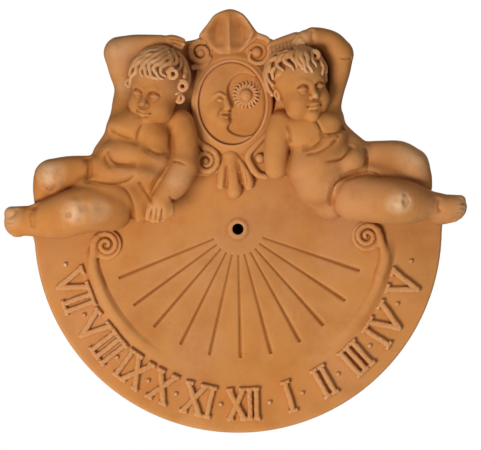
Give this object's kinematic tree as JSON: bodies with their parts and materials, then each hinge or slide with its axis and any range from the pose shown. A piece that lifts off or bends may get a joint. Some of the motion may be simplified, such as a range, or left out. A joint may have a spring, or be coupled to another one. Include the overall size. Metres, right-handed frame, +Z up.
{
  "type": "garden sundial",
  "caption": "Terracotta wall sundial: two reclining putti and a sun-and-moon cartouche over a round dial with hour lines, raised numerals and an empty gnomon socket.",
  "frame": {"origin": "on the axis of the gnomon socket, in the plane of the wall", "axes": "+X to the right as the dial is read, +Z up, -Y out of the wall towards the reader"},
  "size_m": [0.4615, 0.0878, 0.424],
  "materials": {
    "terracotta": "matte, unglazed"
  },
  "bodies": {
    "root": {"dial_slab": "terracotta", "left_scroll_ribbon": "terracotta", "right_scroll_ribbon": "terracotta", "numeral_vii": "terracotta", "numeral_viii": "terracotta", "numeral_ix": "terracotta", "numeral_x": "terracotta", "numeral_xi": "terracotta", "numeral_xii": "terracotta", "numeral_i": "terracotta", "numeral_ii": "terracotta", "numeral_iii": "terracotta", "numeral_iv": "terracotta", "numeral_v": "terracotta", "hour_dots": "terracotta", "cartouche_plate": "terracotta", "crest_leaf": "terracotta", "oval_frame": "terracotta", "medallion_moon": "terracotta", "medallion_sun": "terracotta", "upper_left_volute": "terracotta", "upper_right_volute": "terracotta", "lower_left_volute": "terracotta", "lower_right_volute": "terracotta", "pendant_leaf": "terracotta", "left_torso": "terracotta", "left_head": "terracotta", "left_hair": "terracotta", "left_raised_arm": "terracotta", "left_lowered_arm": "terracotta", "left_front_leg": "terracotta", "left_back_leg": "terracotta", "right_torso": "terracotta", "right_head": "terracotta", "right_hair": "terracotta", "right_raised_arm": "terracotta", "right_lowered_arm": "terracotta", "right_front_leg": "terracotta", "right_back_leg": "terracotta"}
  },
  "joints": []
}
